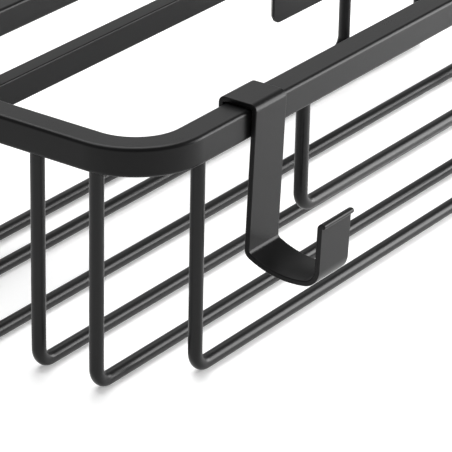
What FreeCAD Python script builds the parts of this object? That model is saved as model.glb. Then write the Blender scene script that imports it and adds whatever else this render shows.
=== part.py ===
import FreeCAD, Part
import math
import os

from FreeCAD import Vector

# Wire shower basket with two clip-on hooks and two adhesive wall plates.
# All sizes are in millimetres. +X runs along the basket, +Y goes back to the wall, +Z is up.
# The shapes are first made with X = 0 at the middle, Y = 0 at the front face of the rim
# and Z = 0 at the top of the rim, and every piece is then moved to the standing position.

# Rim: a loop of square tube.
RIM_LENGTH = 330.0
RIM_DEPTH = 129.0
RIM_SECTION = 10.4
RIM_CORNER_RADIUS = 27.4
RIM_EDGE_RADIUS = 1.4

# Wires welded under the rim.
BASKET_HEIGHT = 90.2
WIRE_DIAMETER = 4.9
WIRE_BEND_RADIUS = 6.0
SIDE_LEG_INSET = 4.4
FRONT_WIRE_Y = 6.3
END_LEG_INSET = 33.3
BASKET_WIRE_Y = (25.0, 49.0, 75.0, 105.0)
GUARD_LEG_INSET = 93.1
GUARD_DROP = 51.2

# Flat bar across the back, let in between the legs of the back wire.
BAR_HEIGHT = 10.0
BAR_THICKNESS = 6.8
BAR_DROP = 28.5
BAR_EDGE_RADIUS = 0.6
BAR_END_SETBACK = 1.2

# Clip-on hooks: one bent strip each.
HOOK_X = (-103.6, 103.6)
HOOK_WIDTH = 17.3
HOOK_THICKNESS = 1.9
HOOK_CLEARANCE = 0.3
HOOK_EDGE_RADIUS = 0.35
HOOK_NOSE_RADIUS = 0.9
HOOK_LIP = 7.0
HOOK_TOP_BEND = 0.7
HOOK_LEAN = 2.0
HOOK_SHANK = 49.4
HOOK_HEEL_BEND = 2.8
HOOK_HEEL_ANGLE = 64.9
HOOK_SOLE_BEND = 33.7
HOOK_SOLE_ANGLE = 37.3
HOOK_TOE_BEND = 6.05
HOOK_TIP = 15.4
HOOK_BEAD_BEND = 1.15
HOOK_BEAD_RUN = 0.95
END_AREA_TOLERANCE = 1e-3

# Wall plates: thin sheet with a tongue bent out under the bar, on an adhesive pad.
PLATE_X = (-106.0, 106.0)
PLATE_WIDTH = 40.0
PLATE_HEIGHT = 50.0
PLATE_DROP = 14.0
PLATE_THICKNESS = 1.25
PLATE_CORNER_RADIUS = 4.0
PLATE_CLEARANCE = 0.3
PAD_MARGIN = 1.0
TONGUE_WIDTH = 16.0
TONGUE_BEND = 1.2
TONGUE_LIP = 6.5
TONGUE_SLOT = 1.0

WIRE_RADIUS = WIRE_DIAMETER / 2.0
BACK_WIRE_Y = RIM_DEPTH - FRONT_WIRE_Y
RUN_Z = WIRE_RADIUS - BASKET_HEIGHT
SIDE_LEG_X = RIM_LENGTH / 2.0 - SIDE_LEG_INSET
END_LEG_X = RIM_LENGTH / 2.0 - END_LEG_INSET
GUARD_LEG_X = RIM_LENGTH / 2.0 - GUARD_LEG_INSET
BAR_BACK_Y = BACK_WIRE_Y + BAR_THICKNESS / 2.0
PLATE_FRONT_Y = BAR_BACK_Y + PLATE_CLEARANCE
PLATE_BACK_Y = PLATE_FRONT_Y + PLATE_THICKNESS


def rounded_rectangle(x0, y0, x1, y1, radius, z=0.0):
    """Closed wire round a rectangle with quarter-circle corners."""
    centres = (
        (x1 - radius, y0 + radius, -90.0),
        (x1 - radius, y1 - radius, 0.0),
        (x0 + radius, y1 - radius, 90.0),
        (x0 + radius, y0 + radius, 180.0),
    )
    edges = []
    previous_end = None
    for cx, cy, start in centres:
        arc = Part.makeCircle(radius, Vector(cx, cy, z), Vector(0, 0, 1), start, start + 90.0)
        first, last = arc.Vertexes[0].Point, arc.Vertexes[-1].Point
        if previous_end is not None:
            edges.append(Part.makeLine(previous_end, first))
        edges.append(arc)
        previous_end = last
    edges.append(Part.makeLine(previous_end, edges[0].Vertexes[0].Point))
    return Part.Wire(edges)


def swept(section, position, direction, turn_axis, moves):
    """Solid bar of one section: straights are extruded and bends are revolved.

    A move is (length,) for a straight or (radius, turn) for a bend. The radius is that of the
    bar's middle line, and a positive turn is right-handed about turn_axis.
    """
    pieces = []
    for move in moves:
        if len(move) == 1:
            step = direction * move[0]
            pieces.append(section.extrude(step))
            section = section.translated(step)
            position = position + step
            continue
        radius, turn = move
        hand = math.copysign(1.0, turn)
        axis = turn_axis * hand
        centre = position + axis.cross(direction) * radius
        pieces.append(section.revolve(centre, axis, abs(turn)))
        section = section.rotated(centre, axis, abs(turn))
        turned = FreeCAD.Rotation(axis, abs(turn))
        position = centre + turned.multVec(position - centre)
        direction = turned.multVec(direction)
    return pieces[0].multiFuse(pieces[1:]).removeSplitter()


def rim():
    """Loop of square tube with rounded corners and softened edges."""
    half = RIM_SECTION / 2.0
    bend = RIM_CORNER_RADIUS - half
    outline = rounded_rectangle(-half, -half, half, half, RIM_EDGE_RADIUS)
    outline.rotate(Vector(0, 0, 0), Vector(0, 1, 0), 90.0)
    start = Vector(RIM_CORNER_RADIUS - RIM_LENGTH / 2.0, half, -half)
    section = Part.Face(outline).translated(start)
    long_side = (RIM_LENGTH - 2.0 * RIM_CORNER_RADIUS,)
    short_side = (RIM_DEPTH - 2.0 * RIM_CORNER_RADIUS,)
    corner = (bend, 90.0)
    return swept(section, start, Vector(1, 0, 0), Vector(0, 0, 1),
                 [long_side, corner, short_side, corner] * 2)


def u_wire(leg_x, y, run_z):
    """Round wire bent into a U whose two legs end square against the rim's underside."""
    start = Vector(-leg_x, y, -RIM_SECTION)
    section = Part.Face(Part.Wire(Part.makeCircle(WIRE_RADIUS, start, Vector(0, 0, 1))))
    leg = (-RIM_SECTION - run_z - WIRE_BEND_RADIUS,)
    corner = (WIRE_BEND_RADIUS, 90.0)
    run = (2.0 * (leg_x - WIRE_BEND_RADIUS),)
    return swept(section, start, Vector(0, 0, -1), Vector(0, -1, 0),
                 [leg, corner, run, corner, leg])


def rear_bar():
    """Flat bar whose ends are hollowed to fit the round legs of the back wire."""
    end_x = END_LEG_X - BAR_END_SETBACK
    corner = Vector(-end_x, BACK_WIRE_Y - BAR_THICKNESS / 2.0, -BAR_DROP - BAR_HEIGHT)
    bar = Part.makeBox(2.0 * end_x, BAR_THICKNESS, BAR_HEIGHT, corner)
    long_edges = [edge for edge in bar.Edges if edge.BoundBox.XLength > end_x]
    bar = bar.makeFillet(BAR_EDGE_RADIUS, long_edges)
    for side in (-1, 1):
        foot = Vector(side * END_LEG_X, BACK_WIRE_Y, -BASKET_HEIGHT)
        bar = bar.cut(Part.makeCylinder(WIRE_RADIUS, BASKET_HEIGHT, foot))
    return bar


def bent_strip(start, direction, moves, thickness, width):
    """Strip of sheet bent in the YZ plane, starting from the middle of its end edge."""
    section = Part.makePlane(width, thickness, start - Vector(width / 2.0, thickness / 2.0, 0))
    return swept(section, start, direction, Vector(1, 0, 0), moves)


def hook(x_middle):
    """Strip that clips over the front rim, leans in below it and ends in a J with a bead."""
    half = HOOK_THICKNESS / 2.0
    bend = HOOK_TOP_BEND + half
    lip_y = RIM_SECTION + HOOK_CLEARANCE + half
    top_z = HOOK_CLEARANCE + half
    lean_in = RIM_SECTION * math.tan(math.radians(HOOK_LEAN))
    across = RIM_SECTION + lean_in + 2.0 * (HOOK_CLEARANCE + half - bend)
    toe_angle = 180.0 - HOOK_HEEL_ANGLE - HOOK_SOLE_ANGLE
    moves = [
        (HOOK_LIP,),
        (bend, 90.0),
        (across,),
        (bend, 90.0 + HOOK_LEAN),
        (HOOK_SHANK,),
        (HOOK_HEEL_BEND, -HOOK_HEEL_ANGLE),
        (HOOK_SOLE_BEND, -HOOK_SOLE_ANGLE),
        (HOOK_TOE_BEND, -toe_angle),
        (HOOK_TIP,),
        (HOOK_BEAD_BEND, 90.0),
        (HOOK_BEAD_RUN,),
    ]
    start = Vector(x_middle, lip_y, top_z - bend - HOOK_LIP)
    strip = bent_strip(start, Vector(0, 0, 1), moves, HOOK_THICKNESS, HOOK_WIDTH)
    ends = [face for face in strip.Faces
            if abs(face.Area - HOOK_THICKNESS * HOOK_WIDTH) < END_AREA_TOLERANCE]
    noses = [edge for face in ends for edge in face.Edges if edge.Length > HOOK_WIDTH / 2.0]
    strip = strip.makeFillet(HOOK_NOSE_RADIUS, noses)
    sides = [edge for edge in strip.Edges if edge.BoundBox.XLength < HOOK_WIDTH / 2.0]
    return strip.makeFillet(HOOK_EDGE_RADIUS, sides)


def plate_outline(x_middle, y, margin):
    """Rounded rectangle standing in the plane of a wall plate."""
    half = PLATE_WIDTH / 2.0 - margin
    top = -PLATE_DROP - margin
    bottom = margin - PLATE_DROP - PLATE_HEIGHT
    outline = rounded_rectangle(-half, bottom, half, top, PLATE_CORNER_RADIUS - margin)
    outline.rotate(Vector(0, 0, 0), Vector(1, 0, 0), 90.0)
    outline.translate(Vector(x_middle, y, 0))
    return Part.Face(outline)


def wall_plate(x_middle):
    """Sheet-metal plate with a tongue cut free, bent forward under the bar and turned up."""
    half = PLATE_THICKNESS / 2.0
    bend = TONGUE_BEND + half
    under_z = -BAR_DROP - BAR_HEIGHT - PLATE_CLEARANCE - half
    plate_y = PLATE_FRONT_Y + half
    reach = BAR_THICKNESS + 2.0 * (PLATE_CLEARANCE + half - bend)
    tongue_length = 2.0 * bend * math.pi / 2.0 + reach + TONGUE_LIP
    sheet = plate_outline(x_middle, PLATE_FRONT_Y, 0.0).extrude(Vector(0, PLATE_THICKNESS, 0))
    window_top = under_z + bend
    window = Part.makeBox(
        TONGUE_WIDTH + 2.0 * TONGUE_SLOT, 3.0 * PLATE_THICKNESS, tongue_length + TONGUE_SLOT,
        Vector(x_middle - TONGUE_WIDTH / 2.0 - TONGUE_SLOT, PLATE_FRONT_Y - PLATE_THICKNESS,
               window_top - tongue_length - TONGUE_SLOT))
    moves = [(bend, -90.0), (reach,), (bend, -90.0), (TONGUE_LIP,)]
    tongue = bent_strip(Vector(x_middle, plate_y, window_top), Vector(0, 0, -1), moves,
                        PLATE_THICKNESS, TONGUE_WIDTH)
    return sheet.cut(window).fuse(tongue).removeSplitter()


def adhesive_pad(x_middle):
    """Pad between a wall plate and the wall, flush with the back of the rim."""
    face = plate_outline(x_middle, PLATE_BACK_Y, PAD_MARGIN)
    return face.extrude(Vector(0, RIM_DEPTH - PLATE_BACK_Y, 0))


def all_pieces():
    pieces = {
        "rim": rim(),
        "front_wire": u_wire(END_LEG_X, FRONT_WIRE_Y, RUN_Z),
        "back_wire": u_wire(END_LEG_X, BACK_WIRE_Y, RUN_Z),
        "front_guard_wire": u_wire(GUARD_LEG_X, FRONT_WIRE_Y, -GUARD_DROP),
        "rear_bar": rear_bar(),
    }
    for number, wire_y in enumerate(BASKET_WIRE_Y, start=1):
        pieces[f"basket_wire_{number}"] = u_wire(SIDE_LEG_X, wire_y, RUN_Z)
    for side, hook_x, plate_x in zip(("left", "right"), HOOK_X, PLATE_X):
        pieces[f"hook_{side}"] = hook(hook_x)
        pieces[f"wall_plate_{side}"] = wall_plate(plate_x)
        pieces[f"adhesive_pad_{side}"] = adhesive_pad(plate_x)
    return pieces


def exact_box(shape):
    """Tight bounding box, because the plain one is too wide round a bend."""
    return shape.optimalBoundingBox(False, False)


def main():
    os.makedirs("parts", exist_ok=True)
    pieces = all_pieces()
    whole = exact_box(Part.makeCompound(list(pieces.values())))
    shift = Vector(-whole.Center.x, -whole.Center.y, -whole.ZMin)
    for name, shape in pieces.items():
        shape.translate(shift)
        box = exact_box(shape)
        print(f"{name:18s} valid={shape.isValid()} solids={len(shape.Solids)} "
              f"volume={shape.Volume:8.1f} "
              f"x {box.XMin:8.2f} {box.XMax:8.2f}  y {box.YMin:7.2f} {box.YMax:7.2f}  "
              f"z {box.ZMin:6.2f} {box.ZMax:6.2f}")
        shape.exportStep(f"parts/{name}.step")
    print(f"moved by {shift.x:.3f} {shift.y:.3f} {shift.z:.3f}")
    print(f"overall {whole.XLength:.2f} x {whole.YLength:.2f} x {whole.ZLength:.2f}")


main()
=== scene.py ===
# %% [markdown]
# A shower caddy in satin black: a rim of square tube, round wires welded under it, a flat bar
# across the back, two strip hooks that clip over the front rim, and two wall plates on
# adhesive pads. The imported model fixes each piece's place and overall size, and the joints.
# This lesson builds the pieces that are seen, the way a metal shop bends them, and gives them
# their powder coat.

# %% Load the frame
import math

import bpy
from mathutils import Matrix, Vector


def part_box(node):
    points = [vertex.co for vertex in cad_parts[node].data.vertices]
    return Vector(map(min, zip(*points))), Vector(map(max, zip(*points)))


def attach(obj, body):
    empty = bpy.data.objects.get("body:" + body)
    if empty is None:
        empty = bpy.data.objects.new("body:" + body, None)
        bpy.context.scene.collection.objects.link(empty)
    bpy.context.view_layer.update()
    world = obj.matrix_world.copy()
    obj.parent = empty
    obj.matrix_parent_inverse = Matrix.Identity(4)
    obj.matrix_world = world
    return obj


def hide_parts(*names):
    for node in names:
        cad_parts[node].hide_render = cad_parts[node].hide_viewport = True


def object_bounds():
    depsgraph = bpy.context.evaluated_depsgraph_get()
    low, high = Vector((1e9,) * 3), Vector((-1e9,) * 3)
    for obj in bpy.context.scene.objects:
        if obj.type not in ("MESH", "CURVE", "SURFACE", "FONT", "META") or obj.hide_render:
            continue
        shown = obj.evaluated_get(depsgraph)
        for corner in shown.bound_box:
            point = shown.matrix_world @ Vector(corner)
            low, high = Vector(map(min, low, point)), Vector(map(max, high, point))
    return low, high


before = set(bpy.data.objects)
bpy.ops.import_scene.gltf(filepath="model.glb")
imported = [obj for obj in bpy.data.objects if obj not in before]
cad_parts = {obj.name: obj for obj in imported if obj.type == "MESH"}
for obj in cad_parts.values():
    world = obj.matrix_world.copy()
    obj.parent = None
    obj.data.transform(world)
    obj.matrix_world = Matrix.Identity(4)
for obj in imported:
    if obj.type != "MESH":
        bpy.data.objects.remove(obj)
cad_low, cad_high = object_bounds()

MM = 0.001
ALONG, BACK, UP = Vector((1, 0, 0)), Vector((0, 1, 0)), Vector((0, 0, 1))
rim_low, rim_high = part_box("rim")
print("CAD box", [round(v, 4) for v in (*cad_low, *cad_high)])

# %% [markdown]
# The view is a close one, from the front left and a little above, with a long lens, so that
# the rim's edges run nearly parallel. The camera looks at a point just in front of the wires,
# a little to the right of the rounded corner, and it is tilted by about a degree.

# %% Camera
VIEW_AZIMUTH, VIEW_ELEVATION, VIEW_TILT = -54.893, 25.405, 1.148
VIEW_DISTANCE = 1.0
LENS = 250.0

corner = Vector((rim_low.x, rim_low.y, rim_high.z))
aim = corner + Vector((27.1, -9.5, -28.9)) * MM


def direction_from(azimuth, elevation):
    """Unit vector from the object towards a place at these angles, in degrees."""
    a, e = math.radians(azimuth), math.radians(elevation)
    return Vector((math.sin(a) * math.cos(e), -math.cos(a) * math.cos(e), math.sin(e)))


def look(obj, place, target, tilt=0.0):
    """Put obj at place and turn its -Z axis to target."""
    turn = (target - place).to_track_quat("-Z", "Y").to_matrix().to_4x4()
    obj.matrix_world = Matrix.Translation(place) @ turn @ Matrix.Rotation(tilt, 4, "Z")


camera_data = bpy.data.cameras.new("camera")
camera_data.lens = LENS
camera_data.clip_start = 0.05
camera = bpy.data.objects.new("camera", camera_data)
bpy.context.scene.collection.objects.link(camera)
bpy.context.scene.camera = camera
eye = aim + direction_from(VIEW_AZIMUTH, VIEW_ELEVATION) * VIEW_DISTANCE
look(camera, eye, aim, math.radians(VIEW_TILT))
print("camera at", [round(v, 4) for v in eye])

# %% [markdown]
# Black paint shows its surroundings more than its own colour, so each light has its own job. A
# broad one high behind whitens the floor. A low one at the right front lights the faces that
# look to the front, and one at the back right is mirrored by the tops. The left side has none,
# which keeps the short side of the rim dark. The floor glows a little, which lightens its
# shadows.

# %% Floor and world
FLOOR_SIZE = 8.0
FLOOR_COLOUR = (0.86, 0.86, 0.86, 1.0)
FLOOR_ROUGHNESS = 0.7
FLOOR_GLOW = 0.30
WORLD_STRENGTH = 0.34

bpy.context.scene.view_settings.view_transform = "Standard"
bpy.ops.object.select_all(action="DESELECT")
bpy.ops.mesh.primitive_plane_add(size=FLOOR_SIZE, location=(0, 0, cad_low.z))
floor = bpy.context.object
floor.name = "floor"

floor_paint = bpy.data.materials.new("floor_paint")
floor_paint.use_nodes = True
floor_inputs = floor_paint.node_tree.nodes["Principled BSDF"].inputs
floor_inputs["Base Color"].default_value = FLOOR_COLOUR
floor_inputs["Roughness"].default_value = FLOOR_ROUGHNESS
floor_inputs["Emission Color"].default_value = FLOOR_COLOUR
floor_inputs["Emission Strength"].default_value = FLOOR_GLOW
floor.data.materials.append(floor_paint)

world = bpy.data.worlds.new("studio")
world.use_nodes = True
world_inputs = world.node_tree.nodes["Background"].inputs
world_inputs["Color"].default_value = (1, 1, 1, 1)
world_inputs["Strength"].default_value = WORLD_STRENGTH
bpy.context.scene.world = world
print("floor at", round(cad_low.z, 4))


# %% [markdown]
# A softbox in a studio is a lamp behind a white cloth. A square area light does the same: a
# larger one gives softer shadows, and its shape shows in the paint as a soft patch.

# %% Softboxes
def softbox(name, azimuth, elevation, distance, size, power):
    """A square area light that faces the point the camera looks at."""
    light_data = bpy.data.lights.new(name, "AREA")
    light_data.shape = "SQUARE"
    light_data.size = size
    light_data.energy = power
    light = bpy.data.objects.new(name, light_data)
    bpy.context.scene.collection.objects.link(light)
    look(light, aim + direction_from(azimuth, elevation) * distance, aim)
    print(name, power, "W")


softbox("high_back", azimuth=150, elevation=66, distance=1.6, size=1.5, power=30)
softbox("right_front", azimuth=55, elevation=6, distance=0.7, size=0.5, power=7.5)
softbox("back_right", azimuth=125, elevation=28, distance=1.5, size=1.0, power=1.2)

# %% [markdown]
# Shader maths reads best as plain Python. The class wraps one socket of a material, and its
# operators add the Math nodes, so `1 - speckle * 0.2` builds two nodes and links them. Any
# other node is made by the method `node`.


# %% Shader expressions
class Signal:
    """One output socket of a node tree, with arithmetic."""

    def __init__(self, tree, socket):
        self.tree, self.socket = tree, socket

    def node(self, kind, settings=None, outlet=0, **inputs):
        """Add a node, set its settings, feed its inputs by name and return one output."""
        made = self.tree.nodes.new(kind)
        for key, value in (settings or {}).items():
            setattr(made, key, value)
        for key, value in inputs.items():
            inlet = made.inputs[int(key[2:])] if key.startswith("in") else made.inputs[key]
            if isinstance(value, Signal):
                self.tree.links.new(value.socket, inlet)
            else:
                inlet.default_value = value
        return Signal(self.tree, made.outputs[outlet])

    def maths(self, operation, a, b):
        return self.node("ShaderNodeMath", {"operation": operation}, in0=a, in1=b)

    def __add__(self, other):
        return self.maths("ADD", self, other)

    def __mul__(self, other):
        return self.maths("MULTIPLY", self, other)

    def __sub__(self, other):
        return self.maths("SUBTRACT", self, other)

    def __rsub__(self, other):
        return self.maths("SUBTRACT", other, self)

    __radd__, __rmul__ = __add__, __mul__


def new_material(name):
    """A node material: its Principled shader and a Signal of Object coordinates."""
    material = bpy.data.materials.new(name)
    material.use_nodes = True
    tree = material.node_tree
    shader = tree.nodes["Principled BSDF"]
    coordinates = tree.nodes.new("ShaderNodeTexCoord")
    print("material", name)
    return material, shader, Signal(tree, coordinates.outputs["Object"])


# %% [markdown]
# Satin powder coat is a thin layer of melted plastic powder. Up close it has a fine, shallow
# orange peel, and the gloss drifts a little from place to place. Three noises do this: a
# slow one for colour and gloss, a middle one for the peel, and a fine one for grain. The wires
# get a little more shine than the other pieces, and the strips and sheets a smoother surface.

# %% Powder coat
COAT_BLACK = (0.0040, 0.0040, 0.0042, 1.0)
COAT_WORN = (0.0070, 0.0070, 0.0072, 1.0)
COAT_ROUGHNESS = 0.30
COAT_SHINE, WIRE_SHINE = 0.16, 0.24
STRIP_GRAIN = 0.8
DRIFT_SCALE, PEEL_SCALE, GRIT_SCALE = 38.0, 900.0, 3200.0
DRIFT_IN_GLOSS, GRIT_IN_GLOSS = 0.10, 0.06
PEEL_HEIGHT, GRIT_HEIGHT = 0.7, 0.3
PEEL_STRENGTH, PEEL_DEPTH = 0.12, 0.1 * MM


def powder_coat(name, grain=1.0, shine=COAT_SHINE):
    material, shader, place = new_material(name)
    drift = place.node("ShaderNodeTexNoise", Vector=place, Scale=DRIFT_SCALE, Detail=3.0)
    peel = place.node("ShaderNodeTexNoise", Vector=place, Scale=PEEL_SCALE, Detail=2.0)
    grit = place.node("ShaderNodeTexNoise", Vector=place, Scale=GRIT_SCALE, Detail=1.0)
    colour = place.node(
        "ShaderNodeMix", {"data_type": "RGBA"}, outlet=2, in0=drift, in6=COAT_BLACK, in7=COAT_WORN)
    roughness = (COAT_ROUGHNESS + (drift - 0.5) * DRIFT_IN_GLOSS
                 + (grit - 0.5) * GRIT_IN_GLOSS)
    height = peel * PEEL_HEIGHT + grit * GRIT_HEIGHT
    bump = place.node(
        "ShaderNodeBump", Height=height, Strength=PEEL_STRENGTH * grain, Distance=PEEL_DEPTH)
    links = material.node_tree.links
    links.new(colour.socket, shader.inputs["Base Color"])
    links.new(roughness.socket, shader.inputs["Roughness"])
    links.new(bump.socket, shader.inputs["Normal"])
    shader.inputs["Specular IOR Level"].default_value = shine
    return material


coat_on_tube = powder_coat("coat_on_tube")
coat_on_wire = powder_coat("coat_on_wire", shine=WIRE_SHINE)
coat_on_strip = powder_coat("coat_on_strip", grain=STRIP_GRAIN)
coat_on_sheet = powder_coat("coat_on_sheet", grain=STRIP_GRAIN)

# %% [markdown]
# The pads are white foam with a skin of small cells. A Voronoi pattern gives the cells: the
# bump raises the middle of each one, and the same pattern makes the middles a little darker.

# %% Foam
FOAM_LIGHT = (0.72, 0.72, 0.70, 1.0)
FOAM_DARK = (0.50, 0.50, 0.48, 1.0)
FOAM_ROUGHNESS = 0.9
CELL_SCALE = 2200.0
CELL_STRENGTH, CELL_DEPTH = 0.5, 0.2 * MM


def foam(name):
    material, shader, place = new_material(name)
    cells = place.node("ShaderNodeTexVoronoi", Vector=place, Scale=CELL_SCALE)
    colour = place.node(
        "ShaderNodeMix", {"data_type": "RGBA"}, outlet=2, in0=cells, in6=FOAM_DARK, in7=FOAM_LIGHT)
    bump = place.node(
        "ShaderNodeBump", Height=1 - cells, Strength=CELL_STRENGTH, Distance=CELL_DEPTH)
    links = material.node_tree.links
    links.new(colour.socket, shader.inputs["Base Color"])
    links.new(bump.socket, shader.inputs["Normal"])
    shader.inputs["Roughness"].default_value = FOAM_ROUGHNESS
    return material


pad_foam = foam("pad_foam")

# %% [markdown]
# Every metal piece is one section carried along a path of straights and bends. The class
# below works in edit mode like a bending machine: `straight` extrudes the selected section
# and `bend` spins it round a centre at the side of the path.


# %% Bending machine
FEWEST_STEPS = 3


class Bender:
    """Carries the selected section along a path in one plane.

    A positive bend is right-handed about turn_axis. The spin operator counts its angle the
    other way, so it is given the negative.
    """

    def __init__(self, place, heading, turn_axis):
        self.place, self.heading, self.turn_axis = place.copy(), heading.copy(), turn_axis

    def straight(self, length):
        step = self.heading * length
        bpy.ops.mesh.extrude_region_move(TRANSFORM_OT_translate={"value": step})
        self.place += step

    def bend(self, radius, degrees, steps):
        axis = self.turn_axis * math.copysign(1.0, degrees)
        angle = math.radians(abs(degrees))
        centre = self.place + axis.cross(self.heading) * radius
        bpy.ops.mesh.spin(steps=steps, angle=-angle, center=centre, axis=axis)
        turned = Matrix.Rotation(angle, 3, axis)
        self.place = centre + turned @ (self.place - centre)
        self.heading = turned @ self.heading

    def follow(self, moves, steps_per_turn):
        """Do a list of moves: (length,) is a straight and (radius, degrees) a bend."""
        for move in moves:
            if len(move) == 1:
                self.straight(move[0])
            else:
                steps = max(FEWEST_STEPS, round(steps_per_turn * abs(move[1]) / 360.0))
                self.bend(move[0], move[1], steps)


# %% [markdown]
# The tube, the bars, the strips and the sheets all start from a flat rectangle, with rounded
# corners where the stock has them. A bevel of the rectangle's vertices rounds them.

# %% Start of a piece
CORNER_STEPS = 6


def rectangle(name, place, width, depth, corner_radius=0.0, face_up=None):
    """Start a piece from a flat rectangle and stay in edit mode with it selected."""
    bpy.ops.object.select_all(action="DESELECT")
    bpy.ops.mesh.primitive_plane_add(size=1.0, location=place)
    piece = bpy.context.object
    piece.name = name
    piece.scale = (width, depth, 1.0)
    if face_up is not None:
        piece.rotation_euler = UP.rotation_difference(face_up).to_euler()
    bpy.ops.object.transform_apply(location=True, rotation=True, scale=True)
    bpy.ops.object.mode_set(mode="EDIT")
    bpy.ops.mesh.select_all(action="SELECT")
    if corner_radius:
        bpy.ops.mesh.bevel(affect="VERTICES", offset=corner_radius, segments=CORNER_STEPS)
        bpy.ops.mesh.select_all(action="SELECT")
    return piece


# %% [markdown]
# Every piece ends the same way. Its doubles are merged, its faces are turned outwards, and it
# is smoothed except at sharp edges. Weighted normals keep the flat faces flat up to their
# rounded edges. Then the piece takes the place of its CAD node and rides on that node's body.

# %% End of a piece
MERGE_DISTANCE = 0.01 * MM
SMOOTH_ANGLE = math.radians(35.0)


def finish_piece(piece, material, body, node):
    """Merge, face outwards, smooth, and hand the piece to its body."""
    bpy.ops.object.mode_set(mode="EDIT")
    bpy.ops.mesh.select_all(action="SELECT")
    bpy.ops.mesh.remove_doubles(threshold=MERGE_DISTANCE)
    bpy.ops.mesh.normals_make_consistent(inside=False)
    bpy.ops.object.mode_set(mode="OBJECT")
    bpy.ops.object.shade_smooth_by_angle(angle=SMOOTH_ANGLE)
    weighted = piece.modifiers.new("weighted_normals", "WEIGHTED_NORMAL")
    weighted.keep_sharp = True
    bpy.ops.object.modifier_apply(modifier=weighted.name)
    piece.data.materials.clear()
    piece.data.materials.append(material)
    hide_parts(node)
    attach(piece, body)
    print(piece.name, len(piece.data.polygons), "faces")


# %% [markdown]
# The rim is a closed loop, so its section is only a ring of edges, with no face to be left
# inside. The last bend brings the ring back to the start, where the doubles are merged.

# %% Rim
RIM_CORNER_RADIUS = 27.4 * MM
RIM_EDGE_RADIUS = 1.4 * MM
RIM_BEND_STEPS = 160

rim_section = rim_high.z - rim_low.z
rim_bend = RIM_CORNER_RADIUS - rim_section / 2
rim_start = Vector((rim_low.x + RIM_CORNER_RADIUS, rim_low.y + rim_section / 2,
                    rim_high.z - rim_section / 2))
rim_piece = rectangle("rim_tube", rim_start, rim_section, rim_section, RIM_EDGE_RADIUS, ALONG)
bpy.ops.mesh.delete(type="ONLY_FACE")
bpy.ops.mesh.select_all(action="SELECT")
rim_sides = [extent - 2 * RIM_CORNER_RADIUS
             for extent in (rim_high.x - rim_low.x, rim_high.y - rim_low.y)]
rim_moves = []
for side in rim_sides * 2:
    rim_moves += [(side,), (rim_bend, 90.0)]
Bender(rim_start, ALONG, UP).follow(rim_moves, RIM_BEND_STEPS)
finish_piece(rim_piece, coat_on_tube, "basket", "rim")

# %% [markdown]
# The wires are all U shapes: a leg down, a bend, the run, a bend, and a leg up. Their places
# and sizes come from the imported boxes, so one function makes all seven.

# %% Wires
WIRE_BEND_RADIUS = 6.0 * MM
WIRE_ROUND_STEPS = 48
WIRE_BEND_STEPS = 96


def bent_wire(node):
    low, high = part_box(node)
    radius = (high.y - low.y) / 2
    start = Vector((low.x + radius, low.y + radius, high.z))
    leg = high.z - low.z - radius - WIRE_BEND_RADIUS
    run = high.x - low.x - 2 * (radius + WIRE_BEND_RADIUS)
    bpy.ops.object.select_all(action="DESELECT")
    bpy.ops.mesh.primitive_circle_add(
        vertices=WIRE_ROUND_STEPS, radius=radius, fill_type="NGON", location=start)
    piece = bpy.context.object
    piece.name = node + "_bent"
    bpy.ops.object.transform_apply(location=True, rotation=True, scale=True)
    bpy.ops.object.mode_set(mode="EDIT")
    bpy.ops.mesh.select_all(action="SELECT")
    corner_bend = (WIRE_BEND_RADIUS, 90.0)
    Bender(start, -UP, -BACK).follow(
        [(leg,), corner_bend, (run,), corner_bend, (leg,)], WIRE_BEND_STEPS)
    finish_piece(piece, coat_on_wire, "basket", node)


wire_nodes = ["front_wire", "back_wire", "front_guard_wire"]
wire_nodes += [f"basket_wire_{number}" for number in range(1, 5)]
for wire_node in wire_nodes:
    bent_wire(wire_node)

# %% [markdown]
# The rear bar is a flat bar with softened long edges, let in between the legs of the back
# wire.

# %% Rear bar
BAR_EDGE_RADIUS = 0.6 * MM

bar_low, bar_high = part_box("rear_bar")
bar_start = Vector((bar_low.x, (bar_low.y + bar_high.y) / 2, (bar_low.z + bar_high.z) / 2))
bar_piece = rectangle("rear_bar_flat", bar_start, bar_high.z - bar_low.z,
                      bar_high.y - bar_low.y, BAR_EDGE_RADIUS, ALONG)
Bender(bar_start, ALONG, UP).straight(bar_high.x - bar_low.x)
finish_piece(bar_piece, coat_on_tube, "basket", "rear_bar")

# %% [markdown]
# The strip has no knife edges: its ends are round and its long edges are softened. The ends
# are bevelled in edit mode, where their long edges can be picked by size, and a Bevel modifier
# takes every edge that is still sharp.

# %% Rounded ends and soft edges
END_STEPS = 8
AREA_TOLERANCE = 0.01
MOST_SIDEWAYS = 0.1
SHARP_ANGLE = math.radians(50.0)


def round_ends(piece, width, thickness, radius):
    """Round the two long edges of each end face of a strip."""
    bpy.ops.object.mode_set(mode="OBJECT")
    mesh = piece.data
    end_area = width * thickness
    ends = [face for face in mesh.polygons
            if abs(face.area - end_area) < AREA_TOLERANCE * end_area
            and abs(face.normal.x) < MOST_SIDEWAYS]
    wanted = set()
    for face in ends:
        for key in face.edge_keys:
            across = (mesh.vertices[key[0]].co - mesh.vertices[key[1]].co).length
            if across > width / 2:
                wanted.add(key)
    bpy.ops.object.mode_set(mode="EDIT")
    bpy.ops.mesh.select_mode(type="EDGE")
    bpy.ops.mesh.select_all(action="DESELECT")
    bpy.ops.object.mode_set(mode="OBJECT")
    for edge in mesh.edges:
        edge.select = edge.key in wanted
    bpy.ops.object.mode_set(mode="EDIT")
    bpy.ops.mesh.bevel(affect="EDGES", offset=radius, segments=END_STEPS)
    bpy.ops.mesh.select_mode(type="VERT")
    bpy.ops.object.mode_set(mode="OBJECT")
    print(piece.name, "end edges rounded:", len(wanted))


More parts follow.
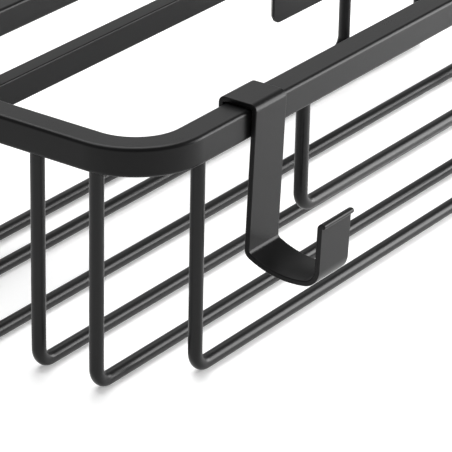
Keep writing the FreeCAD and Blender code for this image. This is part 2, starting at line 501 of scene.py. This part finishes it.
def soften(piece, radius, segments):
    """Round every sharp edge of a piece."""
    rounding = piece.modifiers.new("soft_edges", "BEVEL")
    rounding.width = radius
    rounding.segments = segments
    rounding.limit_method = "ANGLE"
    rounding.angle_limit = SHARP_ANGLE
    bpy.ops.object.modifier_apply(modifier=rounding.name)


# %% [markdown]
# A hook is one strip. It starts behind the rim, goes over it, hangs down in front, leaning in
# a little, and ends in a J whose sole is long and nearly flat. The tip is turned outwards into
# a small round bead.

# %% Hooks
STRIP_THICKNESS = 1.9 * MM
STRIP_END_RADIUS = 0.9 * MM
STRIP_EDGE_RADIUS = 0.35 * MM
CLIP_CLEARANCE = 0.3 * MM
CLIP_LIP = 7.0 * MM
CLIP_BEND = 0.7 * MM + STRIP_THICKNESS / 2
SHANK_LENGTH, SHANK_LEAN = 49.4 * MM, 2.0
HEEL_BEND, HEEL_ANGLE = 2.8 * MM, 64.9
SOLE_BEND, SOLE_ANGLE = 33.7 * MM, 37.3
TOE_BEND = 6.05 * MM
TIP_LENGTH = 15.4 * MM
BEAD_BEND, BEAD_RUN = 1.15 * MM, 0.95 * MM
STRIP_BEND_STEPS = 96
EDGE_STEPS = 3


def strip_hook(side):
    node = f"hook_{side}"
    low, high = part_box(node)
    width = high.x - low.x
    half = STRIP_THICKNESS / 2
    start = Vector(((low.x + high.x) / 2, high.y - half,
                    high.z - half - CLIP_BEND - CLIP_LIP))
    piece = rectangle(f"{node}_strip", start, width, STRIP_THICKNESS)
    lean_in = rim_section * math.tan(math.radians(SHANK_LEAN))
    over = rim_section + lean_in + 2 * (CLIP_CLEARANCE + half - CLIP_BEND)
    moves = [
        (CLIP_LIP,),
        (CLIP_BEND, 90.0),
        (over,),
        (CLIP_BEND, 90.0 + SHANK_LEAN),
        (SHANK_LENGTH,),
        (HEEL_BEND, -HEEL_ANGLE),
        (SOLE_BEND, -SOLE_ANGLE),
        (TOE_BEND, HEEL_ANGLE + SOLE_ANGLE - 180.0),
        (TIP_LENGTH,),
        (BEAD_BEND, 90.0),
        (BEAD_RUN,),
    ]
    Bender(start, UP, ALONG).follow(moves, STRIP_BEND_STEPS)
    round_ends(piece, width, STRIP_THICKNESS, STRIP_END_RADIUS)
    soften(piece, STRIP_EDGE_RADIUS, EDGE_STEPS)
    finish_piece(piece, coat_on_strip, f"{side}_hook", node)


for side in ("left", "right"):
    strip_hook(side)

# %% [markdown]
# A wall plate is thin sheet. A tongue is cut free in the middle, bent forward under the rear
# bar and turned up in front of it, which leaves a window in the plate. The window is cut with
# a Boolean modifier, and another joins the bent tongue. The plate and both tools are closed
# solids whose faces look outwards, as a Boolean expects.

# %% Solid tools and Booleans
def close_solid():
    """Turn the faces outwards and leave edit mode."""
    bpy.ops.mesh.select_all(action="SELECT")
    bpy.ops.mesh.normals_make_consistent(inside=False)
    bpy.ops.object.mode_set(mode="OBJECT")


def combine(piece, tool, operation):
    """Boolean the tool into the piece and remove the tool."""
    bpy.ops.object.select_all(action="DESELECT")
    bpy.context.view_layer.objects.active = piece
    piece.select_set(True)
    cut = piece.modifiers.new("combine", "BOOLEAN")
    cut.operation = operation
    cut.solver = "EXACT"
    cut.object = tool
    bpy.ops.object.modifier_apply(modifier=cut.name)
    bpy.data.objects.remove(tool)


# %% [markdown]
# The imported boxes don't give the sheet's thickness, its corners or its tongue, so those sizes
# stand here. The tongue's length decides how long its window is, as if it had been cut from
# flat sheet.

# %% Wall plates
PLATE_THICKNESS = 1.25 * MM
PLATE_CORNER_RADIUS = 4.0 * MM
PLATE_EDGE_RADIUS = 0.2 * MM
TONGUE_WIDTH = 16.0 * MM
TONGUE_SLOT = 1.0 * MM
TONGUE_BEND = 1.2 * MM + PLATE_THICKNESS / 2
TONGUE_LIP = 6.5 * MM
TONGUE_CLEARANCE = 0.3 * MM
TONGUE_BEND_STEPS = 64
WINDOW_DEPTH = 6 * PLATE_THICKNESS
PLATE_EDGE_STEPS = 2


def wall_plate(side):
    node = f"wall_plate_{side}"
    low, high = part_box(node)
    middle_x = (low.x + high.x) / 2
    half = PLATE_THICKNESS / 2
    plate_y = high.y - half
    under_z = bar_low.z - TONGUE_CLEARANCE - half
    window_top = under_z + TONGUE_BEND
    reach = bar_high.y - bar_low.y + 2 * (TONGUE_CLEARANCE + half - TONGUE_BEND)
    tongue_length = math.pi * TONGUE_BEND + reach + TONGUE_LIP

    centre = Vector((middle_x, high.y, (low.z + high.z) / 2))
    piece = rectangle(f"{node}_sheet", centre, high.x - low.x, high.z - low.z,
                      PLATE_CORNER_RADIUS, -BACK)
    Bender(centre, -BACK, UP).straight(PLATE_THICKNESS)
    close_solid()

    window_height = tongue_length + TONGUE_SLOT
    window_centre = Vector((middle_x, plate_y, window_top - window_height / 2))
    window = rectangle("window", window_centre, TONGUE_WIDTH + 2 * TONGUE_SLOT,
                       window_height, face_up=-BACK)
    bpy.ops.transform.translate(value=BACK * WINDOW_DEPTH / 2)
    Bender(window_centre, -BACK, UP).straight(WINDOW_DEPTH)
    close_solid()
    combine(piece, window, "DIFFERENCE")

    root = Vector((middle_x, plate_y, window_top))
    tongue = rectangle("tongue", root, TONGUE_WIDTH, PLATE_THICKNESS)
    Bender(root, -UP, ALONG).follow(
        [(TONGUE_BEND, -90.0), (reach,), (TONGUE_BEND, -90.0), (TONGUE_LIP,)],
        TONGUE_BEND_STEPS)
    close_solid()
    combine(piece, tongue, "UNION")
    soften(piece, PLATE_EDGE_RADIUS, PLATE_EDGE_STEPS)
    finish_piece(piece, coat_on_sheet, "wall_mounts", node)


# %% [markdown]
# Each pad is cut from foam sheet a little smaller than its plate, so that it doesn't show from
# the front. Each side gets its plate and then its pad.

# %% Adhesive pads, and both sides
PAD_MARGIN = 1.0 * MM
PAD_EDGE_RADIUS = 0.2 * MM


def adhesive_pad(side):
    node = f"adhesive_pad_{side}"
    low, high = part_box(node)
    centre = Vector(((low.x + high.x) / 2, high.y, (low.z + high.z) / 2))
    piece = rectangle(f"{node}_foam", centre, high.x - low.x, high.z - low.z,
                      PLATE_CORNER_RADIUS - PAD_MARGIN, -BACK)
    Bender(centre, -BACK, UP).straight(high.y - low.y)
    bpy.ops.object.mode_set(mode="OBJECT")
    soften(piece, PAD_EDGE_RADIUS, EDGE_STEPS)
    finish_piece(piece, pad_foam, "wall_mounts", node)


for side in ("left", "right"):
    wall_plate(side)
    adhesive_pad(side)

# %% [markdown]
# The hidden CAD nodes still need a finish of their own, because a pose or an export may show
# them.

# %% Finish
for name, node_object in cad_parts.items():
    node_object.data.materials.clear()
    node_object.data.materials.append(pad_foam if "pad" in name else coat_on_tube)
